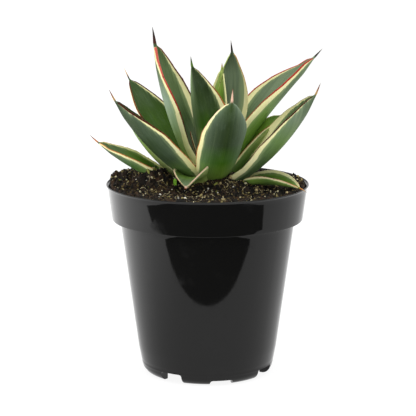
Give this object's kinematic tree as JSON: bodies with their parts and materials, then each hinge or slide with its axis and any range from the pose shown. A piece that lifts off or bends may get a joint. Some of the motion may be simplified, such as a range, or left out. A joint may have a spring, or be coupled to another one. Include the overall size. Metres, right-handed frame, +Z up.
{
  "type": "potted agave",
  "caption": "Compact variegated agave rosette with spined, channelled leaves, growing in soil in a round tapered nursery pot with notched feet.",
  "frame": {"origin": "on the pot's axis, at the surface that the pot stands on", "axes": "+Z up the pot's axis; +X right and +Y away, as seen from the front"},
  "size_m": [0.1772, 0.1543, 0.261],
  "materials": {
    "pot": "glossy moulded polypropylene",
    "soil": "loose dark potting mix, matte",
    "stem": "pale green plant tissue, matte",
    "leaf": "grey-green waxy leaf with cream margins and a red-brown edge, satin"
  },
  "bodies": {
    "root": {"pot": "pot", "stem": "stem", "leaf_bud": "leaf", "leaf_centre_left": "leaf", "leaf_centre_back": "leaf", "leaf_tallest": "leaf", "leaf_back_upright": "leaf", "leaf_right_high": "leaf", "leaf_front_bent": "leaf", "leaf_front": "leaf", "leaf_left_high": "leaf", "leaf_left_mid": "leaf", "leaf_right_mid": "leaf", "leaf_right_behind": "leaf", "leaf_back_mid": "leaf", "leaf_left_behind": "leaf", "leaf_left_low": "leaf", "leaf_back_low_left": "leaf", "leaf_back_low_right": "leaf", "leaf_right_low": "leaf", "soil": "soil"}
  },
  "joints": []
}
